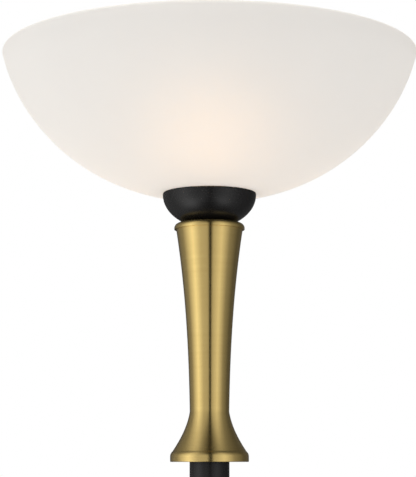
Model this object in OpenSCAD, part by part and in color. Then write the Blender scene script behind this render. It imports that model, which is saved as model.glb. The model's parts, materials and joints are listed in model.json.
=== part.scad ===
// Torchiere floor lamp: frosted glass bowl, black cup, brass neck, three-piece steel pole, weighted base.
// Millimetres, +Z up. The origin is on the floor, on the lamp's axis. The switch faces -Y and the cord's
// inlet +Y.

/* [Overall] */
// Height of the bowl's rim above the floor
rim_h = 1829; // [1700:1:1900]

/* [Glass bowl] */
// Outer radius of the bowl at its rim
bowl_r = 203.2; // [198:0.2:208]
// Depth from the rim to the flat ground seat under the bowl
bowl_depth = 137; // [134:0.1:139]
// Thickness of the glass
glass_t = 4; // [3:0.5:5]
// Radius of the hole through the bottom of the bowl
bowl_hole_r = 21; // [20.5:0.5:24]

/* [Cup and cap] */
// Widest radius of the black cup under the bowl
cup_r = 45.4; // [44:0.1:48]
// Height of the cup
cup_h = 29.9; // [28:0.1:31]
// Thickness of the cup's wall and floor
cup_t = 3; // [2.5:0.1:3.5]
// Radius of the brass cap
cap_r = 34.2; // [33.9:0.1:36]
// Height of the brass cap
cap_h = 6.3; // [6.2:0.1:8]

/* [Neck] */
// Height of the brass neck below its cap
neck_h = 223.5; // [200:0.1:240]
// Outer radius of the neck just under its cap
neck_top_r = 32.3; // [31:0.1:32.3]
// Outer radius of the neck at its waist
neck_waist_r = 18.9; // [18.5:0.1:22]
// Outer radius of the band round the neck's foot
neck_foot_r = 37.6; // [37:0.1:40]
// Thickness of the neck's wall
neck_t = 1.6; // [1.2:0.1:2]

/* [Pole] */
// Outer radius of the pole's steel tube
pole_r = 19.05; // [19.05:0.05:19.1]
// Thickness of the tube's wall
pole_t = 1.2; // [1:0.1:1.5]

/* [Base] */
// Outer radius of the base's cover
base_r = 140; // [136:1:160]
// Height of the flat top of the base's cover
base_h = 38; // [38:0.5:44]
// Thickness of the cover's sheet steel
cover_t = 1.2; // [1:0.1:1.5]
// Thickness of the felt pad under the base
felt_t = 3; // [2:0.5:3]
// Radius of the hole that the supply cord enters through
cord_hole_r = 3.8; // [3.6:0.1:4.2]

/* [Switch] */
// Height of the switch above the floor
switch_h = 1130; // [1000:5:1200]
// Radius of the switch's knob
knob_r = 8; // [7:0.5:10]
// Length of the switch's knob
knob_l = 15; // [12:1:18]

/* [Bulb] */
// Radius of the bulb's globe
globe_r = 30; // [29:0.5:31]

/* [Hidden] */
$fn = 96;
SMOOTH = 40;

BRASS = [0.72, 0.59, 0.30];
BLACK = [0.08, 0.08, 0.08];
GLASS = [0.95, 0.92, 0.88];
STEEL = [0.66, 0.66, 0.68];
BAKELITE = [0.16, 0.14, 0.13];
IRON = [0.28, 0.28, 0.29];
WHITE = [0.92, 0.92, 0.90];
RUBBER = [0.12, 0.12, 0.12];

// Heights of the stack, from the rim down.
seat_z = rim_h - bowl_depth;
cup_z = seat_z - cup_h;
cap_z = cup_z - cap_h;
foot_z = cap_z - neck_h;

// Threaded pipe that holds the lamp together, and what screws on it.
pipe_r = 5;
pipe_bore_r = 3.5;
tapped_r = pipe_r + 0.05;
clear_r = pipe_r + 0.15;
nut_af = 17;
nut_h = 5;
lock_washer_r = 9;
lock_washer_t = 1.2;

// Bowl: the outline is a Bezier curve whose handles are fractions of the radius and of the full depth.
bowl_full_depth = 0.7066 * bowl_r;
bowl_handle_r = [0.9244, 0.6045];
bowl_handle_z = 0.4526;
rim_round = glass_t / 2;

// Cup: a quarter ellipse below a short upright lip, with a step inside the lip for the gasket.
lip_gap = 0.2;
lip_round = 1.2;
lip_t = 2.2;
gasket_h = 1.7;
gasket_w = 2.5;
lip_inner_r = cup_r - lip_round - lip_t;
ledge_r = lip_inner_r - gasket_w - 0.4;
ledge_h = 2;
cup_curve_z = seat_z - 2;
cup_curve_h = 32.2;

// Neck: how far it reaches into its cap, its foot's band, which is rounded over by an angle, and its waist.
cap_lap = 3.8;
cap_lid_t = 2;
cap_round = 5;
band_h = 5.2;
band_round = 6;
band_turn = 50;
flare_h = 47.7;
shoulder_z = foot_z + 6.2;
shoulder_r = neck_foot_r - neck_t - 2;
plate_t = 3;
plate_r = neck_foot_r - neck_t - 0.2;

// Pole: three tubes screwed together.
pole_count = 3;
pole_top = shoulder_z - plate_t;
pole_l = (pole_top - base_h) / pole_count;
bushing_l = 14;
bushing_r = pole_r - pole_t - 0.05;
nipple_l = 24;

// Socket: heights above the cup's floor.
cup_floor = cup_z + cup_t;
cup_nut_z = cup_floor + lock_washer_t;
socket_z = cup_nut_z + nut_h;
socket_r = 19;
socket_t = 3.4;
socket_cap_h = 14;
socket_cap_t = 5;
socket_block_h = 7;
block_z = socket_z + socket_cap_h;
block_top = block_z + socket_block_h;
socket_top = block_top + 30.8;
shell_r = 14.6;
shell_t = 0.6;
terminal_x = 10;
ring_h = 5;
ring_r = 29;
shade_washer_t = 1.2;

// Bulb: heights above its contact tip.
tip_z = block_top + 3.8;
tip_r = 4.8;
tip_h = 1.8;
insulator_h = 3.7;
screw_r = 13.1;
screw_t = 0.4;
screw_z = tip_z + tip_h + insulator_h;
collar_z = tip_z + 26.5;
globe_z = tip_z + 81.5;
globe_t = 1.6;
globe_cut = 18;
collar_top = globe_z - globe_cut;
collar_top_r = sqrt(globe_r * globe_r - globe_cut * globe_cut) + 0.2;
collar_bottom_r = 13.9;
collar_t = 1.5;

// Switch: places along -Y, the way it faces.
body_front = 15;
body_back = 3;
switch_r = 9;
saddle_face = 21;
switch_nut_t = 3;
barrel_end = 27;
shaft_r = 2.42;
shaft_gap = 0.08;
knob_back = 27.6;
shaft_end = knob_back + knob_l - 5;
terminal_z = 5;
terminal_end = 1;
rotor_r = 5.5;
rotor_z = body_back + 3;

// Base.
cover_edge_z = felt_t + 0.5;
cover_fillet = 8;
cover_shoulder_z = 30;
collar_base_r = 42;
collar_h = 50;
weight_r = 134;
weight_top = 24;
boss_r = 34;
recess_r = 24;
recess_z = 19;
inlet_z = 12;
channel_w = 12;
base_nut_h = 6;
base_washer_r = 16;
base_washer_t = 1.6;
rod_bottom = 9;
rod_lap = 12;

// Wires inside the lamp.
wire_r = 1.1;
wire_x = 1.6;
wire_cap_x = 17;
wire_cap_r = 3.2;
wire_cap_l = 14;
wire_cap_z = 7.4;

// A point of the cubic Bezier curve through p[0] and p[3].
function bezier(p, t) =
    pow(1 - t, 3) * p[0] + 3 * pow(1 - t, 2) * t * p[1] + 3 * (1 - t) * t * t * p[2] + t * t * t * p[3];

// Points of a curve from parameter a to parameter b.
function curve(p, a = 0, b = 1, n = SMOOTH) = [for (i = [0:n]) bezier(p, a + (b - a) * i / n)];

// Points of an arc about c, with radii rx and ry, from angle a to angle b.
function arc(c, rx, ry, a, b, n = 16) =
    [for (i = [0:n]) c + [rx * cos(a + (b - a) * i / n), ry * sin(a + (b - a) * i / n)]];

// Where a falling curve first reaches height z, found by halving the interval.
function reach(p, z, lo = 0, hi = 1, n = 24) =
    let (mid = (lo + hi) / 2)
    n == 0 ? mid : bezier(p, mid)[1] > z ? reach(p, z, mid, hi, n - 1) : reach(p, z, lo, mid, n - 1);

// A list of points in the opposite order.
function backward(v) = [for (i = [len(v) - 1:-1:0]) v[i]];

// Handles of the bowl's curve for a rim radius r and a full depth d.
function bowl_curve(r, d) = [
    [r, rim_h], [bowl_handle_r[0] * r, rim_h - bowl_handle_z * d],
    [bowl_handle_r[1] * r, rim_h - d], [0, rim_h - d]
];

// Handles of a curve that widens by equal steps of height, from [r0, z0] to [r1, z1].
function trumpet(r0, z0, a, b, r1, z1) =
    [[r0, z0], [a, z0 + (z1 - z0) / 3], [b, z0 + 2 * (z1 - z0) / 3], [r1, z1]];

// The upright band round a foot of radius r at height z, up to where its flare starts.
function band(r, z) = concat(
    [[r - 0.5, z], [r, z + 0.5]],
    arc([r - band_round, z + band_h], band_round, band_round, 0, band_turn, 8)
);

module lathe(points) {
    rotate_extrude() polygon(points);
}

module tube(r, t, z0, z1) {
    translate([0, 0, z0]) difference() {
        cylinder(r = r, h = z1 - z0);
        translate([0, 0, -1]) cylinder(r = r - t, h = z1 - z0 + 2);
    }
}

module ring(r, bore, z, h) {
    tube(r, r - bore, z, z + h);
}

module hex_nut(z, h) {
    translate([0, 0, z]) difference() {
        intersection() {
            cylinder(r = nut_af / sqrt(3), h = h, $fn = 6);
            cylinder(r = nut_af / 2 + 0.8, h = h);
        }
        translate([0, 0, -1]) cylinder(r = tapped_r, h = h + 2);
    }
}

// A spring washer: a ring cut through once.
module lock_washer(z) {
    difference() {
        ring(lock_washer_r, clear_r, z, lock_washer_t);
        translate([lock_washer_r - 2, 0, z]) rotate([30, 0, 0]) cube([8, 1.2, 6], center = true);
    }
}

// Lays a shape that was drawn along +Z on the switch's axis, which points along -Y.
module on_switch() {
    translate([0, 0, switch_h]) rotate([90, 0, 0]) children();
}

// A round wire through a list of points: rings of eight corners, each square to the path.
module wire(path, r = wire_r) {
    sides = 8;
    n = len(path);
    rings = [for (i = [0:n - 1])
        let (
            d = path[min(i + 1, n - 1)] - path[max(i - 1, 0)],
            along = d / norm(d),
            side = cross(along, [0, 1, 0.05]),
            u = side / norm(side),
            v = cross(along, u)
        )
        for (k = [0:sides - 1]) path[i] + r * (cos(360 * k / sides) * u + sin(360 * k / sides) * v)];
    walls = [for (i = [0:n - 2]) for (k = [0:sides - 1])
        let (a = i * sides + k, b = i * sides + (k + 1) % sides)
        for (tri = [[a, a + sides, b], [b, a + sides, b + sides]]) tri];
    caps = [for (k = [1:sides - 2])
        for (tri = [[0, k, k + 1], [(n - 1) * sides, (n - 1) * sides + k + 1, (n - 1) * sides + k]]) tri];
    polyhedron(points = rings, faces = concat(walls, caps));
}

module glass_bowl() {
    outer = bowl_curve(bowl_r, bowl_full_depth);
    inner = bowl_curve(bowl_r - glass_t, bowl_full_depth - glass_t);
    outer_lip = reach(outer, rim_h - rim_round);
    inner_lip = reach(inner, rim_h - rim_round);
    lip_middle = (bezier(outer, outer_lip) + bezier(inner, inner_lip)) / 2;
    color(GLASS) lathe(concat(
        arc(lip_middle, rim_round, rim_round, 170, 10),
        curve(outer, outer_lip, reach(outer, seat_z)),
        [[bowl_hole_r, seat_z], [bowl_hole_r, seat_z + glass_t]],
        backward(curve(inner, inner_lip, reach(inner, seat_z + glass_t)))
    ));
}

// The threaded ring over the glass, with notches round it for the fingers.
module shade_ring() {
    notches = 12;
    z = seat_z + glass_t + shade_washer_t;
    color(BAKELITE) difference() {
        ring(ring_r, socket_r + 0.05, z, ring_h);
        for (i = [0:notches - 1])
            rotate([0, 0, 360 * i / notches]) translate([ring_r + 1, 0, z - 1])
                cylinder(r = 3, h = ring_h + 2);
    }
}

module shade_washer() {
    color(WHITE) ring(ring_r + 1.5, socket_r + 0.3, seat_z + glass_t, shade_washer_t);
}

module cup_gasket() {
    color(RUBBER) ring(ledge_r + gasket_w, ledge_r + 0.2, seat_z - gasket_h, gasket_h);
}

module shade_cup() {
    lip_z = seat_z - lip_gap;
    ledge_z = seat_z - gasket_h;
    under_z = ledge_z - ledge_h;
    inner_h = cup_curve_h - cup_t;
    curve_end = acos((cup_curve_z - cup_z) / cup_curve_h);
    inner_end = acos((cup_curve_z - cup_floor) / inner_h);
    inner_top = asin((under_z - cup_curve_z) / inner_h);
    color(BLACK) lathe(concat(
        [[clear_r, cup_z]],
        arc([0, cup_curve_z], cup_r, cup_curve_h, curve_end - 90, 0, SMOOTH),
        arc([cup_r - lip_round, lip_z - lip_round], lip_round, lip_round, 0, 90, 8),
        [[lip_inner_r, lip_z], [lip_inner_r, ledge_z], [ledge_r, ledge_z], [ledge_r, under_z]],
        arc([0, cup_curve_z], cup_r - cup_t, inner_h, inner_top, inner_end - 90, SMOOTH),
        [[clear_r, cup_floor]]
    ));
}

module cup_nut() {
    color(STEEL) hex_nut(cup_nut_z, nut_h);
}

module cup_lock_washer() {
    color(STEEL) lock_washer(cup_floor);
}

// A lid with a rounded shoulder and a short upright skirt, which laps over the top of the neck.
module neck_cap() {
    bore = neck_top_r + 0.2;
    top = cap_z + cap_lap;
    under = cup_z - cap_lid_t;
    color(BRASS) lathe(concat(
        [[clear_r, cup_z]],
        arc([cap_r - cap_round, cup_z - cap_round], cap_round, cap_round, 90, 0),
        [[cap_r, cap_z], [bore, cap_z], [bore, top], [bore - 4.6, top], [bore - 4.6, under], [clear_r, under]]
    ));
}

// One spun shell: a long taper, a waist, a flare and an upright band. A shoulder inside stands on the plate.
module neck_shell() {
    waist_z = foot_z + flare_h;
    foot = band(neck_foot_r, foot_z);
    start = foot[len(foot) - 1];
    flare = trumpet(start[0], start[1], 27, 20.8, neck_waist_r, waist_z);
    taper = trumpet(neck_waist_r, waist_z, 19.9, 23.2, neck_top_r, cap_z);
    outer = concat(foot, curve(flare, 0.04, 1, 24), curve(taper, 0.02), [[neck_top_r, cap_z + cap_lap]]);
    inner = [for (p = backward(outer))
        if (p[0] - neck_t < shoulder_r && p[1] > start[1]) [p[0] - neck_t, p[1]]];
    color(BRASS) lathe(concat(
        outer, inner,
        [[shoulder_r, shoulder_z], [neck_foot_r - neck_t, shoulder_z], [neck_foot_r - neck_t, foot_z]]
    ));
}

module neck_plate() {
    color(STEEL) ring(plate_r, clear_r, pole_top, plate_t);
}

module neck_pipe() {
    z = pole_top - nipple_l / 2;
    color(STEEL) ring(pipe_r, pipe_bore_r, z, socket_z + socket_cap_t - z);
}

// The socket's lower cup, screwed on the pipe; the wires come out inside it.
module socket_cap() {
    color(BAKELITE) {
        ring(socket_r, tapped_r, socket_z, socket_cap_t);
        tube(socket_r, 2, socket_z + socket_cap_t, block_z);
    }
}

// The socket's threaded sleeve, which the shade ring screws on.
module socket_body() {
    color(BAKELITE) tube(socket_r, socket_t, block_z, socket_top);
}

module socket_block() {
    color(WHITE) difference() {
        translate([0, 0, block_z]) cylinder(r = socket_r - socket_t - 0.1, h = socket_block_h);
        for (x = [-terminal_x, terminal_x])
            translate([x, 0, block_z - 1]) cylinder(r = 1.6, h = 6);
    }
}

module socket_shell() {
    color(BRASS) tube(shell_r, shell_t, block_top, socket_top - 2);
}

// A leaf of brass whose tongue rises under the bulb's tip.
module socket_contact() {
    leaf = 0.6;
    rise = tip_z - block_top - 0.3;
    color(BRASS) translate([0, 2.5, block_top]) rotate([90, 0, 0]) linear_extrude(5)
        polygon([
            [-10, 0], [-6, 0], [3, rise - leaf], [5, rise - leaf],
            [5, rise], [2.6, rise], [-6.3, leaf], [-10, leaf]
        ]);
}

module socket_screws() {
    color(STEEL) for (x = [-terminal_x, terminal_x]) {
        translate([x, 0, block_z]) cylinder(r = 1.5, h = 4.5);
        translate([x, 0, block_z - 2]) cylinder(r = 3, h = 2);
    }
}

module bulb_tip() {
    color(STEEL) lathe(concat(
        [[0, tip_z + tip_h], [0, tip_z]],
        arc([tip_r - 1.2, tip_z + 1.2], 1.2, 1.2, -90, 0, 6),
        [[tip_r, tip_z + tip_h]]
    ));
}

module bulb_insulator() {
    z = tip_z + tip_h;
    r = screw_r - 3.2;
    color(RUBBER) lathe([[0, z], [tip_r + 0.6, z], [r, screw_z - 0.6], [r, screw_z + 1], [0, screw_z + 1]]);
}

module bulb_screw_cap() {
    lip = screw_r - 3.1;
    bore = screw_r - screw_t;
    color(STEEL) lathe([
        [lip, screw_z], [lip, screw_z - 0.5], [screw_r - 0.8, screw_z], [screw_r, screw_z + 1.2],
        [screw_r, collar_z], [bore, collar_z], [bore, screw_z + 1.5], [bore - 1, screw_z + 0.5]
    ]);
}

// The white collar that carries the globe and cools the board inside.
module bulb_collar() {
    outer = trumpet(collar_bottom_r + 0.9, collar_z + 2, 17.2, 22.4, collar_top_r, collar_top);
    color(WHITE) lathe(concat(
        [[collar_bottom_r - 2, collar_z], [collar_bottom_r, collar_z]],
        curve(outer, 0, 1, 20),
        [for (p = backward(curve(outer, 0, 1, 20))) [p[0] - collar_t, p[1]]],
        [[collar_bottom_r - 2, collar_z + 2]]
    ));
}

module bulb_globe() {
    cut = asin(globe_cut / globe_r);
    inner = globe_r - globe_t;
    inner_cut = asin(globe_cut / inner);
    color(GLASS) lathe(concat(
        arc([0, globe_z], globe_r, globe_r, -cut, 90, SMOOTH),
        arc([0, globe_z], inner, inner, 90, -inner_cut, SMOOTH)
    ));
}

module led_board() {
    color(WHITE) translate([0, 0, collar_top - 1.6]) cylinder(r = collar_top_r - collar_t - 0.5, h = 1.6);
}

module led_chips() {
    count = 10;
    color([0.95, 0.85, 0.4]) for (i = [0:count - 1])
        rotate([0, 0, 360 * i / count]) translate([15, 0, collar_top + 0.4])
            cube([3, 3, 0.8], center = true);
}

// The driver: a narrow board that stands in the collar, with a capacitor and a coil on it.
module led_driver() {
    bottom = collar_z + 3;
    top = collar_top - 2;
    color([0.15, 0.4, 0.2]) translate([-9, -0.6, bottom]) cube([18, 1.2, top - bottom]);
    color(RUBBER) translate([-4, -5.1, bottom + 8]) cylinder(r = 4.5, h = 14);
    color(STEEL) translate([-4, 0.6, bottom + 10]) cube([10, 7, 9]);
}

module pole_tube(index) {
    z = base_h + index * pole_l;
    tube(pole_r, pole_t, z, z + pole_l);
}

module pole_lower() {
    color(BLACK) pole_tube(0);
}

module pole_middle() {
    color(BLACK) pole_tube(1);
}

module pole_upper() {
    color(BLACK) difference() {
        pole_tube(2);
        on_switch() cylinder(r = clear_r, h = pole_r + 5);
    }
}

// Six tapped plugs, one welded in each end of each tube.
module pole_bushings() {
    color(STEEL) for (i = [0:pole_count - 1], z = [0, pole_l - bushing_l])
        ring(bushing_r, tapped_r, base_h + i * pole_l + z, bushing_l);
}

module pole_nipples() {
    color(STEEL) for (i = [1:pole_count - 1])
        ring(pipe_r, pipe_bore_r, base_h + i * pole_l - nipple_l / 2, nipple_l);
}

module switch_body() {
    color(BAKELITE) on_switch() difference() {
        translate([0, 0, body_back]) cylinder(r = switch_r, h = body_front - body_back);
        translate([0, 0, body_back + 2]) cylinder(r = switch_r - 1.5, h = body_front - body_back - 4);
        translate([0, 0, rotor_z]) cylinder(r = shaft_r + shaft_gap, h = body_front);
    }
}

module switch_barrel() {
    color(BRASS) on_switch() ring(pipe_r, shaft_r + shaft_gap, body_front, barrel_end - body_front);
}

// A washer that is round outside, flat in front and hollowed behind to sit on the tube.
module switch_saddle() {
    color(BRASS) difference() {
        on_switch() translate([0, 0, pole_r - 4]) cylinder(r = switch_r, h = saddle_face - pole_r + 4);
        on_switch() cylinder(r = clear_r, h = saddle_face + 1);
        translate([0, 0, switch_h - 15]) cylinder(r = pole_r + 0.05, h = 30);
    }
}

module switch_nut() {
    teeth = 20;
    r = switch_r - 1.5;
    color(BRASS) on_switch() difference() {
        ring(r, tapped_r, saddle_face, switch_nut_t);
        for (i = [0:teeth - 1])
            rotate([0, 0, 360 * i / teeth]) translate([r + 0.3, 0, saddle_face - 1])
                cylinder(r = 0.7, h = switch_nut_t + 2);
    }
}

module switch_terminals() {
    color(BRASS) on_switch() for (y = [-terminal_z, terminal_z])
        translate([-5, y, terminal_end]) cylinder(r = 2, h = body_back - terminal_end);
}

// Two fixed leaves inside the switch, one above and one below the rotor.
module switch_contacts() {
    color(BRASS) on_switch() for (y = [-1, 1])
        translate([0, y * (rotor_r + 1.2), body_back + 4.5]) cube([4, 0.6, 5], center = true);
}

module switch_shaft() {
    color(STEEL) on_switch() translate([0, 0, rotor_z]) cylinder(r = shaft_r, h = shaft_end - rotor_z);
}

// A four-lobed cam on the shaft.
module switch_rotor() {
    lobe = [2 * rotor_r, 5.8, 4];
    color(WHITE) on_switch() translate([0, 0, rotor_z]) difference() {
        intersection() {
            cylinder(r = rotor_r, h = 4);
            union() for (a = [0, 90])
                rotate([0, 0, a]) translate([-lobe[0] / 2, -lobe[1] / 2, 0]) cube(lobe);
        }
        translate([0, 0, -1]) cylinder(r = shaft_r + 0.03, h = 6);
    }
}

// A brass knob with flutes round it and a softened front edge.
module switch_knob() {
    flutes = 24;
    edge = 1.5;
    front = knob_back + knob_l;
    color(BRASS) on_switch() difference() {
        lathe(concat(
            [[0, knob_back], [knob_r - 0.6, knob_back], [knob_r, knob_back + 0.6]],
            arc([knob_r - edge, front - edge], edge, edge, 0, 90, 8),
            [[0, front]]
        ));
        translate([0, 0, knob_back - 1]) cylinder(r = shaft_r + 0.03, h = shaft_end - knob_back + 1.1);
        for (i = [0:flutes - 1])
            rotate([0, 0, 360 * i / flutes]) translate([knob_r + 0.35, 0, knob_back + 2])
                cylinder(r = 0.75, h = knob_l - 4.5);
    }
}

// The neck's flare again, small way up, round the foot of the pole.
module base_collar() {
    foot = band(collar_base_r, base_h);
    start = foot[len(foot) - 1];
    flare = curve(trumpet(start[0], start[1], 30.5, 22.4, pole_r + 1.5, base_h + collar_h), 0.04, 1, 24);
    color(BRASS) lathe(concat(
        [[collar_base_r - neck_t, base_h]], foot, flare,
        [[pole_r + 0.1, base_h + collar_h]],
        [for (p = backward(flare)) [max(p[0] - neck_t, pole_r + 0.1), p[1] - 1]]
    ));
}

// Outline of the cover's outside, from its edge to its middle; lap moves it in by a sheet's thickness.
function cover_line(lap) = concat(
    [[base_r - lap, cover_edge_z]],
    arc([base_r - cover_fillet, cover_shoulder_z - cover_fillet],
        cover_fillet - lap, cover_fillet - lap, 0, 82, 12),
    curve([[base_r - 14, cover_shoulder_z + 0.6 - lap], [100, cover_shoulder_z + 4.6 - lap],
        [70, base_h - lap], [collar_base_r + 2, base_h - lap]], 0, 1, 20),
    [[clear_r, base_h - lap]]
);

module base_cover() {
    color(BLACK) difference() {
        lathe(concat(cover_line(0), backward(cover_line(cover_t))));
        translate([0, 0, inlet_z]) rotate([-90, 0, 0]) cylinder(r = 7, h = base_r + 5);
    }
}

// Cast iron disc with a boss that the cover rests on, a pocket for the nut and a channel for the cord.
module base_weight() {
    color(IRON) difference() {
        union() {
            translate([0, 0, felt_t]) cylinder(r = weight_r, h = weight_top - felt_t);
            cylinder(r = boss_r, h = base_h - cover_t);
        }
        translate([0, 0, -1]) cylinder(r = boss_r + 1, h = felt_t + 1);
        translate([0, 0, felt_t - 1]) cylinder(r = recess_r, h = recess_z - felt_t + 1);
        translate([0, 0, -1]) cylinder(r = clear_r, h = base_h + 2);
        translate([0, 0, inlet_z]) rotate([-90, 0, 0]) cylinder(r = channel_w / 2, h = weight_r + 5);
        translate([-channel_w / 2, 0, felt_t - 1]) cube([channel_w, weight_r + 5, inlet_z - felt_t + 1]);
    }
}

module base_felt() {
    color([0.1, 0.1, 0.1]) cylinder(r = weight_r - 2, h = felt_t);
}

module base_rod() {
    color(STEEL) ring(pipe_r, pipe_bore_r, rod_bottom, base_h + rod_lap - rod_bottom);
}

module base_washer() {
    color(STEEL) ring(base_washer_r, clear_r, recess_z - base_washer_t, base_washer_t);
}

module base_lock_washer() {
    color(STEEL) lock_washer(recess_z - base_washer_t - lock_washer_t);
}

module base_nut() {
    color(STEEL) hex_nut(recess_z - base_washer_t - lock_washer_t - base_nut_h, base_nut_h);
}

// The bush that lines the cord's hole in the cover: a flange outside and a snap ring inside.
module cord_bushing() {
    inside = base_r - 5.5;
    flange = base_r + 2;
    color(RUBBER) translate([0, 0, inlet_z]) rotate([-90, 0, 0]) difference() {
        union() {
            translate([0, 0, inside]) cylinder(r = 6.9, h = flange - inside);
            translate([0, 0, inside + 1]) cylinder(r = 7.8, h = 2.4);
            translate([0, 0, base_r]) cylinder(r = 8.6, h = flange - base_r);
        }
        translate([0, 0, inside - 1]) cylinder(r = cord_hole_r, h = flange - inside + 2);
    }
}

// The way out of the rod's lower end and into a wire cap, for the wire on the side that s says, -1 or 1.
function tail(s) = [
    [s * wire_cap_x, 6.5, wire_cap_z], [s * wire_cap_x, 9.5, wire_cap_z], [s * 15, 12.5, 6.5],
    [s * 9, 11, 4.9], [s * 3.2, 5, 4.6], [s * 1.9, 1.2, 5.6], [s * wire_x, 0, 8], [s * wire_x, 0, 14]
];

// The way from the top of the pipe to a screw of the socket.
function head(s) = [
    [s * wire_x, 0, socket_z], [s * wire_x, 0, socket_z + 5.2], [s * 2.4, 0, socket_z + 8],
    [s * 4, 0, block_z - 2.8], [s * (terminal_x - 3.6), 0, block_z - 1.6]
];

module wire_neutral() {
    color(WHITE) wire(concat(tail(1), head(1)));
}

module wire_hot_lower() {
    color(RUBBER) wire(concat(tail(-1), [
        [-wire_x, 0, switch_h - 40], [-2.2, 0, switch_h - 30], [-4.4, 0.1, switch_h - 20],
        [-5, 0.25, switch_h - 14], [-5, 0.25, switch_h - terminal_z]
    ]));
}

module wire_hot_upper() {
    color(RUBBER) wire(concat([
        [-5, 0.25, switch_h + terminal_z], [-5, 0.25, switch_h + 14], [-4.4, 0.1, switch_h + 20],
        [-2.2, 0, switch_h + 30], [-wire_x, 0, switch_h + 40]
    ], head(-1)));
}

// Two crimped caps in the base, where the wires meet the supply cord.
module wire_caps() {
    color([0.8, 0.7, 0.4]) for (s = [-1, 1])
        translate([s * wire_cap_x, 6.5, wire_cap_z]) rotate([90, 0, 0])
            cylinder(r = wire_cap_r, h = wire_cap_l);
}

glass_bowl();
shade_ring();
shade_washer();
cup_gasket();
shade_cup();
cup_nut();
cup_lock_washer();
neck_cap();
neck_shell();
neck_plate();
neck_pipe();
socket_cap();
socket_body();
socket_block();
socket_shell();
socket_contact();
socket_screws();
bulb_tip();
bulb_insulator();
bulb_screw_cap();
bulb_collar();
bulb_globe();
led_board();
led_chips();
led_driver();
pole_upper();
pole_middle();
pole_lower();
pole_bushings();
pole_nipples();
switch_body();
switch_barrel();
switch_saddle();
switch_nut();
switch_terminals();
switch_contacts();
switch_shaft();
switch_rotor();
switch_knob();
base_collar();
base_cover();
base_weight();
base_felt();
base_rod();
base_washer();
base_lock_washer();
base_nut();
cord_bushing();
wire_neutral();
wire_hot_lower();
wire_hot_upper();
wire_caps();
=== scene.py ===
# %% [markdown]
# # A torchiere floor lamp
# The lamp comes in as a finished frame: every tube, nut and washer is already in its place, in metres,
# with the floor at height 0 and the lamp's axis on the Z axis. This script gives each piece its surface.
# The pieces that show are turned again as fine, smooth surfaces inside the same outlines, because a
# lamp is mostly long reflections, and a reflection shows every facet. Most pieces hidden inside keep
# their own meshes and only get a finish.

# %% Load the frame
import json

import bpy
import numpy as np
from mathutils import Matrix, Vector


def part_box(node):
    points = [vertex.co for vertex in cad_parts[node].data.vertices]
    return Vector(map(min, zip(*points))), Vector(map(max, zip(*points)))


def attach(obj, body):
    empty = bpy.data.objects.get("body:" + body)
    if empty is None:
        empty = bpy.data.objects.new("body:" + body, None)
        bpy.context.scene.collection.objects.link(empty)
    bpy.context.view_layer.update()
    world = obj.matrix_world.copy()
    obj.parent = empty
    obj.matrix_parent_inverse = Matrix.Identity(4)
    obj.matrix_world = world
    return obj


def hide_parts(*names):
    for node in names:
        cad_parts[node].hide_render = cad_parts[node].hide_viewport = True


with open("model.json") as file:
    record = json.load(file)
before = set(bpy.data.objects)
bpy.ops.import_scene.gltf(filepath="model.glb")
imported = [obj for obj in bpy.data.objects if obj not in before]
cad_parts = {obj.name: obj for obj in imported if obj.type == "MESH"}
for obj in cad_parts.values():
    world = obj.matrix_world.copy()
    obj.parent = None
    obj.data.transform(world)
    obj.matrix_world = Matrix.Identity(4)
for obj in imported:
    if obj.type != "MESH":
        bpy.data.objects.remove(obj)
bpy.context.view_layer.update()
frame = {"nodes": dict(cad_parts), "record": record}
nodes = frame["nodes"]

# %% [markdown]
# ## Where things are
# Heights and widest radii come from the boxes of the frame's own nodes. Wall thicknesses and the curves
# between those places are the design's own numbers, and stand beside the piece they belong to.

# %% Measure the frame
MM = 0.001


def span(node):
    """A turned node's lowest height, highest height and widest radius."""
    low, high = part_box(node)
    return low.z, high.z, (high.x - low.x) / 2


SEAT, RIM, BOWL_R = span("glass_bowl")
CUP_Z, CUP_TOP, CUP_R = span("shade_cup")
CAP_Z, CAP_TOP, CAP_R = span("neck_cap")
FOOT, NECK_TOP, FOOT_R = span("neck_shell")
BASE_TOP, COLLAR_TOP, COLLAR_R = span("base_collar")
POLE_R = span("pole_upper")[2]
PIPE_R = span("neck_pipe")[2]
print("rim", round(RIM, 4), "seat", round(SEAT, 4), "cup", round(CUP_Z, 4), "neck's foot", round(FOOT, 4))

# %% [markdown]
# ## Shader arithmetic
# A pattern is easier to read as a sum than as a web of nodes. `Wire` wraps one output socket, and the
# signs + - * and / between wires and numbers each add one Math node. Any other node comes from
# `Wire.make`, which sets the node's own settings first and then its sockets.


# %% A small language for materials
class Wire:
    """One number or colour that varies over a surface."""

    def __init__(self, socket):
        self.socket = socket

    @staticmethod
    def make(tree, kind, settings=None, inputs=None, output=0):
        """Adds a node of that kind, sets it, fills or links its inputs and returns one output."""
        node = tree.nodes.new(kind)
        settings = dict(settings or {})
        stops = settings.pop("stops", [])
        for name, value in settings.items():
            setattr(node, name, value)
        for i, (place_on_ramp, colour) in enumerate(stops):
            ramp = node.color_ramp.elements
            stop = ramp[i] if i < len(ramp) else ramp.new(place_on_ramp)
            stop.position, stop.color = place_on_ramp, colour
        for name, value in (inputs or {}).items():
            if isinstance(value, Wire):
                tree.links.new(value.socket, node.inputs[name])
            else:
                node.inputs[name].default_value = value
        return Wire(node.outputs[output])

    def math(self, operation, other, swap=False):
        first, second = (other, self) if swap else (self, other)
        tree = self.socket.id_data
        return Wire.make(tree, "ShaderNodeMath", {"operation": operation}, {0: first, 1: second})

    def __add__(self, other):
        return self.math("ADD", other)

    def __sub__(self, other):
        return self.math("SUBTRACT", other)

    def __rsub__(self, other):
        return self.math("SUBTRACT", other, swap=True)

    def __mul__(self, other):
        return self.math("MULTIPLY", other)

    def __truediv__(self, other):
        return self.math("DIVIDE", other)

    __radd__ = __add__
    __rmul__ = __mul__


print("wires know + - * and /")


# %% Building blocks of a material
def rgb(*colour):
    """A linear colour with full alpha, from three numbers."""
    return (*colour, 1)


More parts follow.
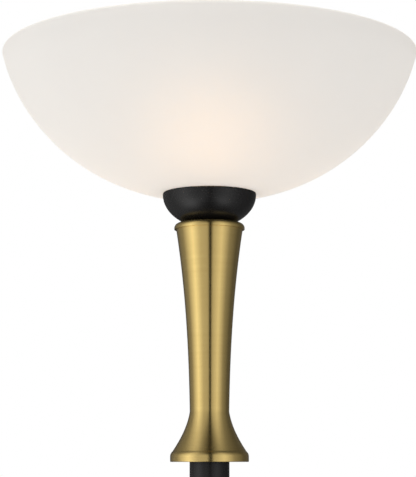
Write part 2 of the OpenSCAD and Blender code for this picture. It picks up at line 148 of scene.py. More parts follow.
def finish(name, colour, roughness, **settings):
    """A new material with one Principled shader: its node tree, and the shader to build on."""
    material = bpy.data.materials.new(name)
    material.use_nodes = True
    tree = material.node_tree
    skin = tree.nodes["Principled BSDF"]
    skin.inputs["Base Color"].default_value = rgb(*colour)
    skin.inputs["Roughness"].default_value = roughness
    for socket, value in settings.items():
        skin.inputs[socket.replace("_", " ")].default_value = value
    return material, tree, skin


def feed(tree, skin, **wires):
    """Links wires to the shader's sockets, with spaces for underscores."""
    for socket, wire in wires.items():
        tree.links.new(wire.socket, skin.inputs[socket.replace("_", " ")])


def place(tree, scale=(1, 1, 1), move=(0, 0, 0), turn=(0, 0, 0)):
    """Object coordinates in metres, stretched, then turned, then moved."""
    here = Wire.make(tree, "ShaderNodeTexCoord", output="Object")
    inputs = {"Vector": here, "Scale": scale, "Location": move, "Rotation": turn}
    return Wire.make(tree, "ShaderNodeMapping", {}, inputs)


def noise(tree, where, scale, detail=4, rough=0.55):
    """Cloudy noise from 0 to 1 with `scale` lumps to the metre."""
    inputs = {"Vector": where, "Scale": scale, "Detail": detail, "Roughness": rough}
    return Wire.make(tree, "ShaderNodeTexNoise", {}, inputs)


def blend(tree, amount, first, second):
    """A colour between first and second."""
    inputs = {0: amount, 6: first, 7: second}
    return Wire.make(tree, "ShaderNodeMix", {"data_type": "RGBA"}, inputs, 2)


def bump(tree, height, strength, distance):
    """A normal tilted by a pattern of heights from 0 to 1, where 1 stands `distance` metres high."""
    inputs = {"Height": height, "Strength": strength, "Distance": distance}
    return Wire.make(tree, "ShaderNodeBump", {}, inputs)


FINISHES = {}
print("finishes can be mixed from noise, blend and bump")

# %% [markdown]
# ## Turned shapes
# Nearly every piece of the lamp is turned: one outline carried round the axis. A spin or a screw
# modifier would do it, but then each outline would be a mesh to build and throw away. Here the outline
# is an array of (radius, height) points and the whole surface is one product of arrays. The outline is
# walked upwards along the outside, which makes the faces look outwards.


# %% Outlines
def bezier(*handles, steps=40):
    """Points of the cubic curve whose weights are (1-t)^3, 3(1-t)^2 t, 3(1-t) t^2 and t^3."""
    t = np.linspace(0, 1, steps + 1)[:, None]
    a, b, c, d = (np.asarray(h, float) for h in handles)
    return (1 - t) ** 3 * a + 3 * (1 - t) ** 2 * t * b + 3 * (1 - t) * t**2 * c + t**3 * d


def trumpet(low, high, handles, steps=40):
    """A curve from low to high whose two handles stand at a third and two thirds of the height."""
    (r0, z0), (r1, z1) = low, high
    third = (z1 - z0) / 3
    return bezier(low, (handles[0], z0 + third), (handles[1], z0 + 2 * third), high, steps=steps)


def arc(centre, radii, start, stop, steps=12):
    """Points centre + (rx cos a, rz sin a) for angles a, in degrees, from start to stop."""
    a = np.radians(np.linspace(start, stop, steps + 1))
    return np.stack([centre[0] + radii[0] * np.cos(a), centre[1] + radii[1] * np.sin(a)], 1)


def closed_ring(outline):
    """Whether an outline runs round on itself, which one that starts on the axis doesn't."""
    return bool(outline[0][0] > 1e-9)


print("a quarter arc has", len(arc((0, 0), (1, 1), 0, 90)), "points")


# %% Corners
def softened(outline, radius=0.4 * MM, steps=3):
    """Rounds each corner that turns more than about 20 degrees: a quadratic curve between two points
    on its sides, with the corner itself as the handle. One more point on each side keeps the flat
    faces flat when the surface is shaded smooth."""
    here = np.asarray(outline, float)
    back, ahead = np.roll(here, 1, 0) - here, np.roll(here, -1, 0) - here
    back_l, ahead_l = (np.linalg.norm(side, axis=1, keepdims=True) for side in (back, ahead))
    straight = -(back * ahead).sum(1, keepdims=True) / (back_l * ahead_l)
    cut = np.where(straight < 0.94, np.minimum(radius, 0.3 * np.minimum(back_l, ahead_l)), 0)
    if not closed_ring(here):
        cut[[0, -1]] = 0
    first, last = here + back / back_l * cut, here + ahead / ahead_l * cut
    t = np.linspace(0, 1, steps + 1)[None, :, None]
    bend = (1 - t) ** 2 * first[:, None] + 2 * t * (1 - t) * here[:, None] + t**2 * last[:, None]
    before = here[:, None] + (first - here)[:, None] * 1.5
    after = here[:, None] + (last - here)[:, None] * 1.5
    points = np.concatenate([before, bend, after], 1).reshape(-1, 2)
    return points[np.linalg.norm(points - np.roll(points, 1, 0), axis=1) > 1e-7]


def dense(outline, step):
    """Adds points along the sides, so that no side is longer than step."""
    line = np.asarray(outline, float)
    if closed_ring(line):
        line = np.vstack([line, line[:1]])
    walked = np.concatenate([[0], np.cumsum(np.linalg.norm(np.diff(line, axis=0), axis=1))])
    at = np.union1d(walked, np.arange(0, walked[-1], step))
    points = np.stack([np.interp(at, walked, line[:, i]) for i in (0, 1)], 1)
    return points[:-1] if closed_ring(points) else points


print("a rounded square has", len(softened([(1, 0), (2, 0), (2, 1), (1, 1)])), "points")


# %% Surfaces
AROUND = 176
SLOT = {part["node"]: part["material_slot"] for part in frame["record"]["subparts"]}


def surface(name, points, material, body, stands_for, ring):
    """A mesh from a grid of points: rows along the outline, columns round the axis. In a ring the
    last row joins the first."""
    rows, columns = points.shape[:2]
    index = np.arange(rows * columns).reshape(rows, columns)
    right = np.roll(index, -1, 1)
    quads = np.stack([index, right, np.roll(right, -1, 0), np.roll(index, -1, 0)], -1)
    quads = quads if ring else quads[:-1]
    mesh = bpy.data.meshes.new(name)
    mesh.from_pydata(points.reshape(-1, 3), [], quads.reshape(-1, 4))
    mesh.shade_smooth()
    mesh.materials.append(material)
    if not ring:
        close_poles(mesh)
    piece = bpy.data.objects.new(name, mesh)
    bpy.context.scene.collection.objects.link(piece)
    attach(piece, body)
    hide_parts(*stands_for)
    print(name, "has", len(mesh.polygons), "faces")
    return piece


def close_poles(mesh):
    """Merges the points of a row that has shrunk onto the axis, and drops the faces that vanish."""
    import bmesh

    work = bmesh.new()
    work.from_mesh(mesh)
    bmesh.ops.remove_doubles(work, verts=work.verts, dist=1e-7)
    bmesh.ops.dissolve_degenerate(work, edges=work.edges, dist=1e-8)
    work.to_mesh(mesh)
    work.free()


def upright(x, y, z):
    """Leaves a piece on the lamp's own axis."""
    return x, y, z


def turned(name, outline, material, body="lamp", stands_for=None, ripple=None, lay=upright, around=AROUND):
    """The point (r, z) of the outline at angle a goes to (r cos a, r sin a, z). ripple changes the
    radius with the angle and the height, and lay puts the piece on another axis."""
    outline = np.asarray(outline, float)
    a = np.linspace(0, 2 * np.pi, around, endpoint=False)
    r, z = (np.repeat(outline[:, i : i + 1], around, 1) for i in (0, 1))
    if ripple:
        r = ripple(a, r, z)
    points = np.stack(lay(r * np.cos(a), r * np.sin(a), z), -1)
    return surface(name, points, material, body, stands_for or [name], closed_ring(outline))


print("turned pieces have", AROUND, "columns")

# %% [markdown]
# ## Frosted glass
# The bowl is clear glass with an etched skin. It shines by itself only because light from the bulb and
# from the room scatters in that skin. A volume shader would do this truly but slowly, so here the skin
# does it: the outside passes light on through a rough and through a fully scattering shader, and the
# inside lets most of it by.


# %% Glass
def shader(tree, kind, **inputs):
    """Any single shader, such as Translucent or Transparent."""
    return Wire.make(tree, "ShaderNodeBsdf" + kind, {}, inputs)


def mixed(tree, amount, first, second):
    """Part of one shader and part of another, for glass that does two things at once."""
    return Wire.make(tree, "ShaderNodeMixShader", {}, {0: amount, 1: first, 2: second})


def cover(tree, wire):
    """Makes a shader the surface of its material."""
    tree.links.new(wire.socket, tree.nodes["Material Output"].inputs["Surface"])


def etched_glass(name, passes):
    """Glass with an etched skin. `passes` adds the shaders that let light through."""
    material, tree, skin = finish(name, (0.86, 0.85, 0.83), 0.55, IOR=1.3, Specular_IOR_Level=0.15)
    cloud = noise(tree, place(tree), 14, 3)
    grain = noise(tree, place(tree), 1400, 2)
    feed(
        tree,
        skin,
        Base_Color=blend(tree, cloud, rgb(0.87, 0.86, 0.84), rgb(0.84, 0.83, 0.81)),
        Roughness=0.5 + grain * 0.12,
        Normal=bump(tree, grain, 0.12, 0.0002),
    )
    cover(tree, passes(tree, Wire(skin.outputs[0])))
    return material


def glows(tree, skin):
    """A little over half of the light that gets here comes on through."""
    scatter = shader(tree, "Translucent", Color=rgb(0.93, 0.91, 0.88))
    through = shader(tree, "Refraction", Color=rgb(1.0, 0.97, 0.92), Roughness=0.95, IOR=1.7)
    return mixed(tree, 0.55, skin, mixed(tree, 0.24, scatter, through))


def lets_by(tree, skin):
    """Most of the light goes straight on to the outer skin."""
    return mixed(tree, 0.6, skin, shader(tree, "Transparent", Color=rgb(1, 1, 1)))


FINISHES["frosted_glass"] = etched_glass("frosted_glass", glows)
GLASS_INSIDE = etched_glass("frosted_glass_inside", lets_by)
print("glass:", FINISHES["frosted_glass"].name, "and", GLASS_INSIDE.name)

# %% [markdown]
# The bowl's outside is one cubic curve from the rim down to a flat ground seat, and its inside is the
# same curve drawn a wall's thickness smaller. Both are cut off where they meet the seat or the rolled
# rim. The curve's handles are given as shares of its radius and its height.

# %% Bowl
GLASS_T = 4 * MM
BOWL_HOLE_R = 21 * MM
BOWL_CURVE_R = 203.2 * MM
BOWL_CURVE_H = 0.7066 * BOWL_CURVE_R
LOW_HANDLE_R, HIGH_HANDLE_R, HIGH_HANDLE_Z = 0.6045, 0.9244, 0.4526
RIM_ROUND = GLASS_T / 2


def bowl_side(lap, low, high, steps=110):
    """The bowl's curve, `lap` inside the outer one, cut off below and above."""
    r, h = BOWL_CURVE_R - lap, BOWL_CURVE_H - lap
    handles = (LOW_HANDLE_R * r, RIM - h), (HIGH_HANDLE_R * r, RIM - HIGH_HANDLE_Z * h)
    line = bezier((0, RIM - h), *handles, (r, RIM), steps=steps)
    ends = np.array([(np.interp(z, line[:, 1], line[:, 0]), z) for z in (low, high)])
    kept = line[(line[:, 1] > low + 1e-5) & (line[:, 1] < high - 1e-5)]
    return np.vstack([ends[:1], kept, ends[1:]])


outside = bowl_side(0, SEAT, RIM - RIM_ROUND)
inside = bowl_side(GLASS_T, SEAT + GLASS_T, RIM - RIM_ROUND)
lip = arc((outside[-1] + inside[-1]) / 2, (RIM_ROUND, RIM_ROUND), 10, 170, 10)
below = [(BOWL_HOLE_R, SEAT)]
above = [(BOWL_HOLE_R, SEAT + GLASS_T)]
bowl = turned("glass_bowl", np.vstack([below, outside, lip, inside[::-1], above]), FINISHES["frosted_glass"])
bowl.data.materials.append(GLASS_INSIDE)
bowl.visible_glossy = False
row = np.arange(len(bowl.data.polygons)) // AROUND
bowl.data.polygons.foreach_set("material_index", (row > len(outside) + len(lip) // 2).astype(np.int32))
print("the glass weighs on a seat", round(2000 * outside[0, 0], 1), "mm wide")

# %% [markdown]
# ## Black paint
# The cup, the poles and the base are steel with a satin black coat. Sprayed paint is never quite flat:
# it dries into a faint orange peel. That is a fine noise as a bump, and a second, larger one that
# makes the gloss vary a little.


# %% Dull finishes
def skinned(name, colour, roughness, lumps, depth, fleck=1.3, **settings):
    """A dull finish: colour flecked towards a lighter tone, and a skin with `lumps` to the metre that
    stand `depth` metres high."""
    material, tree, skin = finish(name, colour, roughness, **settings)
    peel = noise(tree, place(tree), lumps)
    cloud = noise(tree, place(tree), lumps / 20, 3)
    lighter = rgb(*(min(1.0, fleck * c) for c in colour))
    feed(
        tree,
        skin,
        Base_Color=blend(tree, peel * 0.5 + cloud * 0.5, rgb(*colour), lighter),
        Roughness=roughness * 0.85 + (peel + cloud) * (roughness * 0.15),
        Normal=bump(tree, peel, 0.35, depth),
    )
    return material


FINISHES["black_paint"] = skinned("black_paint", (0.0055, 0.005, 0.005), 0.27, 420, 0.00004, 1.25,
                                  Specular_IOR_Level=0.4)
print("paint:", FINISHES["black_paint"].name)

# %% [markdown]
# The cup is spun steel: a quarter of an ellipse, a short upright lip and a step inside it where the
# rubber gasket lies.

# %% Cup
CUP_T = 3 * MM
LIP_ROUND = 1.2 * MM
LIP_INNER = 42.0 * MM
LEDGE = 39.1 * MM
CLEAR_R = PIPE_R + 0.15 * MM
CUP_MIDDLE = SEAT - 2 * MM
CUP_CURVE_H = 32.2 * MM
GASKET_Z = SEAT - 1.7 * MM
UNDER_Z = GASKET_Z - 2 * MM


def cup_side(lap, floor, top=CUP_MIDDLE):
    """The ellipse's quarter, `lap` inside the outer one, from the cup's floor to its widest."""
    height = CUP_CURVE_H - lap
    start, stop = (np.degrees(np.arcsin((z - CUP_MIDDLE) / height)) for z in (floor, top))
    return arc((0, CUP_MIDDLE), (CUP_R - lap, height), start, stop, 48)


cup = np.vstack(
    [
        [(CLEAR_R, CUP_Z)],
        cup_side(0, CUP_Z),
        arc((CUP_R - LIP_ROUND, CUP_TOP - LIP_ROUND), (LIP_ROUND, LIP_ROUND), 0, 90, 8),
        [(LIP_INNER, CUP_TOP), (LIP_INNER, GASKET_Z), (LEDGE, GASKET_Z), (LEDGE, UNDER_Z)],
        cup_side(CUP_T, CUP_Z + CUP_T, UNDER_Z)[::-1],
        [(CLEAR_R, CUP_Z + CUP_T)],
    ]
)
turned("shade_cup", softened(cup), FINISHES["black_paint"])

# %% [markdown]
# The pole is three steel tubes screwed end to end. Their edges are eased, and two eased edges that meet
# show as the thin dark groove that tells where the pole comes apart. The switch's hole isn't cut in this
# surface: its barrel and shaft pass through the wall, out of sight under the saddle washer.

# %% Poles
POLE_T = 1.2 * MM
EASED = 0.35 * MM
for pole in ("pole_lower", "pole_middle", "pole_upper"):
    low, high, radius = span(pole)
    tube = [(radius - POLE_T, low), (radius, low), (radius, high), (radius - POLE_T, high)]
    turned(pole, softened(tube, EASED), FINISHES["black_paint"])

# %% [markdown]
# The base is a sheet steel cover over an iron weight. Its side is upright, its shoulder is a tight
# curve, and its top rises slowly to the flat where the collar stands. The cord's hole is cut through
# the side at the back with a Boolean, whose result is kept as a plain mesh.

# %% Base cover
COVER_T = 1.2 * MM
COVER_LOW, COVER_TOP, COVER_R = span("base_cover")
COVER_FILLET = 8 * MM
SHOULDER = 30 * MM
INLET_R = 7 * MM
INLET_Z = (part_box("cord_bushing")[0].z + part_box("cord_bushing")[1].z) / 2


def cover_side(lap):
    """The cover's outline from its edge to its middle, `lap` inside the outer one."""
    fillet = COVER_FILLET - lap
    top = COVER_TOP - lap
    rise = [
        (COVER_R - 14 * MM, SHOULDER + 0.6 * MM - lap),
        (100 * MM, SHOULDER + 4.6 * MM - lap),
        (70 * MM, top),
        (COLLAR_R + 2 * MM, top),
    ]
    edge = [(COVER_R - lap, COVER_LOW)]
    curve = arc((COVER_R - COVER_FILLET, SHOULDER - COVER_FILLET), (fillet, fillet), 0, 82, 14)
    return np.vstack([edge, curve, bezier(*rise, steps=32), [(CLEAR_R, top)]])


def bored(piece, radius, start, stop, height):
    """Bores a hole along +Y through a piece and keeps the result as its mesh."""
    hole = [(0, start), (radius, start), (radius, stop), (0, stop)]
    across = turned("hole", hole, FINISHES["black_paint"], stands_for=["base_cover"],
                    lay=lambda x, y, z: (x, z, height - y), around=48)
    cut = piece.modifiers.new("hole", "BOOLEAN")
    cut.operation, cut.object, cut.solver = "DIFFERENCE", across, "EXACT"
    result = piece.evaluated_get(bpy.context.evaluated_depsgraph_get())
    mesh = bpy.data.meshes.new_from_object(result)
    piece.modifiers.clear()
    bpy.data.objects.remove(across)
    old, piece.data = piece.data, mesh
    bpy.data.meshes.remove(old)
    mesh.name = piece.name


cover_line = np.vstack([cover_side(0), cover_side(COVER_T)[::-1]])
base_cover = turned("base_cover", softened(cover_line), FINISHES["black_paint"], around=256)
bored(base_cover, INLET_R, COVER_R - 12 * MM, COVER_R + 5 * MM, INLET_Z)
print("the cover now has", len(base_cover.data.polygons), "faces")

# %% [markdown]
# ## Brushed brass
# The brass is brushed as it turns in the lathe, so every scratch is a circle round the axis. Light that
# falls on such scratches is drawn out up and down, which is the job of the anisotropic setting. The
# scratches themselves are a noise that changes fast with height and slowly round the piece. Height alone
# would leave flat faces plain, so the noise reads height minus radius.


# %% Brass
def circles(tree, where, fine, slow):
    """Noise drawn out into circles round Z: `fine` lines to the metre, `slow` changes round."""
    parts = Wire.make(tree, "ShaderNodeSeparateXYZ", {}, {0: where}).socket.node.outputs
    x, y, z = (Wire(parts[i]) for i in range(3))
    radius = (x * x + y * y).math("POWER", 0.5)
    stretched = {0: x * slow, 1: y * slow, 2: (z - radius) * fine}
    return noise(tree, Wire.make(tree, "ShaderNodeCombineXYZ", {}, stretched), 1, 3, 0.6)


def brushed(name, anisotropic, move=(0, 0, 0), turn=(0, 0, 0)):
    """Lacquered brass with a fine turned grain and a little tarnish in it."""
    settings = {"Metallic": 1.0, "Anisotropic": anisotropic, "Anisotropic_Rotation": 0.25}
    material, tree, metal = finish(name, (0.83, 0.62, 0.23), 0.28, **settings)
    where = place(tree, move=move, turn=turn)
    lines = circles(tree, where, 2600, 22)
    bands = circles(tree, where, 240, 5)
    tarnish = noise(tree, where, 35, 5)
    colour = blend(tree, lines * 0.5 + bands * 0.5, rgb(0.74, 0.53, 0.19), rgb(0.90, 0.69, 0.28))
    feed(
        tree,
        metal,
        Base_Color=blend(tree, tarnish * 0.25, colour, rgb(0.62, 0.42, 0.13)),
        Roughness=0.16 + lines * 0.08 + tarnish * 0.05,
        Normal=bump(tree, lines, 0.25, 0.00012),
    )
    return material


FINISHES["brushed_brass"] = brushed("brushed_brass", 0.93)
print("metal:", FINISHES["brushed_brass"].name)

# %% [markdown]
# The cap is a lid with a rounded shoulder and a short skirt. The neck under it is one spun shell: a long
# taper, a waist, a flare and an upright band at the foot, whose top edge is rounded over.

# %% Cap and neck
NECK_T = 1.6 * MM
NECK_TOP_R = 32.3 * MM
WAIST_R = 18.9 * MM
CAP_ROUND = 5 * MM
BAND_H = 5.2 * MM
BAND_ROUND = 6 * MM
BAND_TURN = 50
LID_T = 2 * MM
LAP_STEP = 4.6 * MM
FLARE_HANDLES = 27 * MM, 20.8 * MM
TAPER_HANDLES = 19.9 * MM, 23.2 * MM
WAIST_Z = FOOT + 47.7 * MM
SHOULDER_R = FOOT_R - NECK_T - 2 * MM
NECK_SHOULDER_Z = FOOT + 6.2 * MM

bore, lid = NECK_TOP_R + 0.2 * MM, CAP_TOP - LID_T
step = bore - LAP_STEP
cap = np.vstack(
    [
        [(step, lid), (step, NECK_TOP), (bore, NECK_TOP), (bore, CAP_Z), (CAP_R, CAP_Z)],
        arc((CAP_R - CAP_ROUND, CAP_TOP - CAP_ROUND), (CAP_ROUND, CAP_ROUND), 0, 90, 20),
        [(CLEAR_R, CAP_TOP), (CLEAR_R, lid)],
    ]
)
turned("neck_cap", softened(cap, 0.3 * MM), FINISHES["brushed_brass"])


def flared(foot, radius, waist, handles):
    """An upright band, rounded over at the top, and a flare that runs up from there to the waist."""
    edge = [(radius - 0.5 * MM, foot), (radius, foot + 0.5 * MM)]
    band = arc((radius - BAND_ROUND, foot + BAND_H), (BAND_ROUND, BAND_ROUND), 0, BAND_TURN, 10)
    return np.vstack([edge, band, trumpet(band[-1], waist, handles, 30)[1:]])


taper = trumpet((WAIST_R, WAIST_Z), (NECK_TOP_R, CAP_Z), TAPER_HANDLES, 60)[1:]
flare = flared(FOOT, FOOT_R, (WAIST_R, WAIST_Z), FLARE_HANDLES)
outer = np.vstack([flare, taper, [(NECK_TOP_R, NECK_TOP)]])
wall = outer[::-1] - (NECK_T, 0)
wall = wall[(wall[:, 0] < SHOULDER_R) & (wall[:, 1] > FOOT + BAND_H + BAND_ROUND)]
under = [(SHOULDER_R, NECK_SHOULDER_Z), (FOOT_R - NECK_T, NECK_SHOULDER_Z), (FOOT_R - NECK_T, FOOT)]
turned("neck_shell", softened(np.vstack([outer, wall, under]), EASED), FINISHES["brushed_brass"])

# %% [markdown]
# The collar on the base is the neck's flare again, a little shorter, so it uses the same outline.

# %% Base collar
COLLAR_HANDLES = 30.5 * MM, 22.4 * MM
top_r = POLE_R + 1.5 * MM
flare = flared(BASE_TOP, COLLAR_R, (top_r, COLLAR_TOP), COLLAR_HANDLES)
sleeve = POLE_R + 0.1 * MM
wall = np.maximum(flare[:12:-1] - (NECK_T, MM), (sleeve, 0))
foot = [(COLLAR_R - NECK_T, BASE_TOP)]
collar = np.vstack([flare, [(sleeve, COLLAR_TOP)], wall, foot])
turned("base_collar", softened(collar, EASED), FINISHES["brushed_brass"])

# %% [markdown]
# ## The switch
# The knob is turned like the rest, but on its own axis, which points forward, and with flutes round it
# for the fingers. It has no bore here, and the shaft ends inside it. Each flute is the mark of a small
# round cutter: at an angle d from its middle, the cutter's near side stands at
# c cos d - sqrt(b^2 - (c sin d)^2) from the axis, where c is the distance of the cutter's axis and b its
# radius.

# %% Knob
SWITCH_Z = (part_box("switch_knob")[0].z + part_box("switch_knob")[1].z) / 2
KNOB_BACK, KNOB_FRONT = -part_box("switch_knob")[1].y, -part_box("switch_knob")[0].y
KNOB_R = 8 * MM
KNOB_EDGE = 1.5 * MM
FLUTES = 24
CUTTER_AT, CUTTER_R = KNOB_R + 0.35 * MM, 0.75 * MM


def fluted(a, r, z):
    """Cuts the flutes into the side of the knob, between 2 mm from its back and 2.5 mm from its
    front."""
    from_middle = (a * FLUTES / (2 * np.pi) + 0.5) % 1 - 0.5
    d = from_middle * 2 * np.pi / FLUTES
    inside_cutter = np.maximum(CUTTER_R**2 - (CUTTER_AT * np.sin(d)) ** 2, 0)
    floor = np.where(inside_cutter > 0, CUTTER_AT * np.cos(d) - np.sqrt(inside_cutter), KNOB_R)
    along = (z > KNOB_BACK + 2 * MM) & (z < KNOB_FRONT - 2.5 * MM)
    return np.where(along, np.minimum(r, floor), r)


def forward(x, y, z):
    """Lays a piece on the switch's axis, which points along -Y."""
    return x, -z, y + SWITCH_Z


FINISHES["knob_brass"] = brushed("knob_brass", 0.0, move=(0, SWITCH_Z, 0), turn=(-np.pi / 2, 0, 0))
edge = arc((KNOB_R - KNOB_EDGE, KNOB_FRONT - KNOB_EDGE), (KNOB_EDGE, KNOB_EDGE), 0, 90, 8)
back = [(0, KNOB_BACK), (KNOB_R - 0.6 * MM, KNOB_BACK), (KNOB_R, KNOB_BACK + 0.6 * MM)]
knob = dense(softened(np.vstack([back, edge, [(0, KNOB_FRONT)]]), 0.2 * MM), 0.5 * MM)
turned("switch_knob", knob, FINISHES["knob_brass"], "switch", ripple=fluted, lay=forward, around=FLUTES * 16)

# %% [markdown]
# ## Bulb and socket
# The bulb screws into the socket, so both need the same thread. A screw thread is a ripple of the radius
# whose phase grows with height and falls with angle: height over pitch minus angle over a full turn. The
# phase comes back to itself after one turn, one pitch higher, which is what makes it a helix. The bulb
# is lit in its globe and, at half the strength, in the collar under it, which brings the glow in the
# bowl down. Both fade with height, away from the joint between them.

# %% Thread
PITCH = 0.00057758 * 2 * np.pi
THREAD_DEPTH = 0.75 * MM


def threaded(low, high):
    """A ripple that cuts a thread between two heights and fades out over half a pitch at each end."""

    def ripple(a, r, z):
        wave = 0.5 - 0.5 * np.cos(2 * np.pi * z / PITCH - a)
        fade = np.clip(np.minimum(z - low, high - z) / (0.5 * PITCH), 0, 1)
        return r - THREAD_DEPTH * wave * fade

    return ripple


print("the thread's pitch is", round(1000 * PITCH, 3), "mm")


# %% Metals
def plated(name, colour, roughness, lumps=90, depth=0.00005, change=0.85):
    """Plated or bare metal: one colour that clouds a little, and a skin that isn't quite smooth."""
    material, tree, metal = finish(name, colour, roughness, Metallic=1.0)
    cloud = noise(tree, place(tree), lumps)
    duller = rgb(*(change * c for c in colour))
    feed(
        tree,
        metal,
        Base_Color=blend(tree, cloud, rgb(*colour), duller),
        Roughness=roughness * 0.8 + cloud * (roughness * 0.5),
        Normal=bump(tree, noise(tree, place(tree), lumps * 12), 0.3, depth),
    )
    return material


FINISHES["zinc_steel"] = plated("zinc_steel", (0.60, 0.61, 0.63), 0.32)
FINISHES["bare_brass"] = plated("bare_brass", (0.80, 0.60, 0.26), 0.28)
FINISHES["bulb_tin"] = plated("bulb_tin", (0.72, 0.71, 0.68), 0.3)
FINISHES["cast_iron"] = plated("cast_iron", (0.07, 0.07, 0.075), 0.62, 300, 0.0004, 0.6)
print("with the metals there are", len(FINISHES), "finishes")

# %% Plastics of the bulb and the socket
BULB_GLOW = 7.6
COLLAR_GLOW = 0.5 * BULB_GLOW


def lit(name, colour, glow, strength, bright, dim):
    """Opal plastic that light comes out of: all of it at the height `bright`, a quarter at `dim`."""
    material, tree, skin = finish(name, colour, 0.45, Emission_Strength=strength)
    cloud = noise(tree, place(tree), 60, 2)
    z = Wire(Wire.make(tree, "ShaderNodeSeparateXYZ", {}, {0: place(tree)}).socket.node.outputs[2])
    fade = (z - bright) / (dim - bright)
    feed(
        tree,
        skin,
        Base_Color=blend(tree, cloud, rgb(*colour), rgb(*(0.97 * c for c in colour))),
        Emission_Color=blend(tree, fade + cloud * 0.05, rgb(*glow), rgb(*(0.25 * c for c in glow))),
    )
    return material


GLOBE_LOW, GLOBE_TOP, GLOBE_R = span("bulb_globe")
COLLAR_Z = span("bulb_collar")[0]
BULB_LIGHT = (1.0, 0.52, 0.13)
OPAL = (0.92, 0.90, 0.86)
FINISHES["bulb_diffuser"] = lit("bulb_diffuser", OPAL, BULB_LIGHT, BULB_GLOW, GLOBE_LOW, GLOBE_TOP)
COLLAR_OPAL = lit("bulb_collar_opal", OPAL, BULB_LIGHT, COLLAR_GLOW, GLOBE_LOW, COLLAR_Z)
FINISHES["led_yellow"] = lit("led_yellow", (0.85, 0.62, 0.12), (1.0, 0.85, 0.6), 4.0, 0.0, 9.0)
FINISHES["bulb_plastic"] = skinned("bulb_plastic", (0.84, 0.83, 0.81), 0.42, 700, 0.00003, 1.04)
FINISHES["bakelite"] = skinned("bakelite", (0.018, 0.016, 0.015), 0.33, 600, 0.00003)
print("the bulb glows at", BULB_GLOW)

# %% Bulb
GLOBE_Z = GLOBE_TOP - GLOBE_R
GLOBE_T = 1.6 * MM
CUT = GLOBE_Z - GLOBE_LOW
outer_cut = np.degrees(np.arcsin(CUT / GLOBE_R))
inner_cut = np.degrees(np.arcsin(CUT / (GLOBE_R - GLOBE_T)))
inner_r = GLOBE_R - GLOBE_T
globe = np.vstack(
    [
        arc((0, GLOBE_Z), (inner_r, inner_r), 90, -inner_cut, 40),
        arc((0, GLOBE_Z), (GLOBE_R, GLOBE_R), -outer_cut, 90, 40),
    ]
)
globe[[0, -1], 0] = 0
turned("bulb_globe", globe, FINISHES["bulb_diffuser"], "bulb", around=128)

heel = 13.9 * MM
top_r = np.sqrt(GLOBE_R**2 - CUT**2) + 0.2 * MM
side = trumpet((heel + 0.9 * MM, COLLAR_Z + 2 * MM), (top_r, GLOBE_LOW), (17.2 * MM, 22.4 * MM), 24)
mouth = side[::-1] - (1.5 * MM, 0)
low = [(heel - 2 * MM, COLLAR_Z + 2 * MM), (heel - 2 * MM, COLLAR_Z), (heel, COLLAR_Z)]
bulb_collar = np.vstack([low, side, mouth])
turned("bulb_collar", softened(bulb_collar, 0.3 * MM), COLLAR_OPAL, "bulb", around=128)

# %% Screw cap
SCREW_Z = span("bulb_screw_cap")[0] + 0.5 * MM
SCREW_R = span("bulb_screw_cap")[2]
SCREW_T = 0.4 * MM
lip_r, bore = SCREW_R - 3.1 * MM, SCREW_R - SCREW_T
cap = [
    (lip_r, SCREW_Z - 0.5 * MM),
    (SCREW_R - 0.8 * MM, SCREW_Z),
    (SCREW_R, SCREW_Z + 1.2 * MM),
    (SCREW_R, COLLAR_Z),
    (bore, COLLAR_Z),
    (bore, SCREW_Z + 1.5 * MM),
    (bore - MM, SCREW_Z + 0.5 * MM),
    (lip_r, SCREW_Z),
]
thread = threaded(SCREW_Z + 2 * MM, COLLAR_Z - 3 * MM)
turned("bulb_screw_cap", dense(cap, 0.3 * MM), FINISHES["bulb_tin"], "bulb", ripple=thread, around=96)

# %% Socket
SHELL_LOW, SHELL_TOP, SHELL_R = span("socket_shell")
SHELL_T = 0.6 * MM
shell = [
    (SHELL_R, SHELL_LOW),
    (SHELL_R, SHELL_TOP),
    (SHELL_R - SHELL_T, SHELL_TOP),
    (SHELL_R - SHELL_T, SHELL_LOW),
]
shell_thread = threaded(SHELL_LOW + MM, SHELL_TOP - MM)
turned("socket_shell", dense(shell, 0.3 * MM), FINISHES["bare_brass"], ripple=shell_thread, around=96)

BODY_LOW, BODY_TOP, BODY_R = span("socket_body")
BODY_BORE = BODY_R - 3.4 * MM
sleeve = [(BODY_BORE, BODY_LOW), (BODY_R, BODY_LOW), (BODY_R, BODY_TOP), (BODY_BORE, BODY_TOP)]


def outside_only(a, r, z):
    """The sleeve's thread is on its outside, for the ring that holds the glass down."""
    return np.where(r > BODY_R - 0.1 * MM, threaded(BODY_LOW + 6 * MM, BODY_TOP - MM)(a, r, z), r)


turned("socket_body", dense(sleeve, 0.35 * MM), FINISHES["bakelite"], ripple=outside_only, around=96)

# %% [markdown]
# ## The cord's bush
# A rubber bush lines the hole that the supply cord enters through: a flange outside, a neck in the hole
# and a ring inside that snaps behind the sheet.

# %% Bush
FINISHES["rubber"] = skinned("rubber", (0.02, 0.02, 0.02), 0.55, 900, 0.00005, 1.5)
BUSH_IN, BUSH_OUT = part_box("cord_bushing")[0].y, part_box("cord_bushing")[1].y
CORD_R = 3.8 * MM
BUSH_NECK_R, BUSH_SNAP_R, BUSH_FLANGE_R = 6.9 * MM, 7.8 * MM, 8.6 * MM
SNAP_Y = BUSH_IN + 3.4 * MM


def backward(x, y, z):
    """Lays a piece on the cord's axis, which points along +Y."""
    return x, z, INLET_Z - y


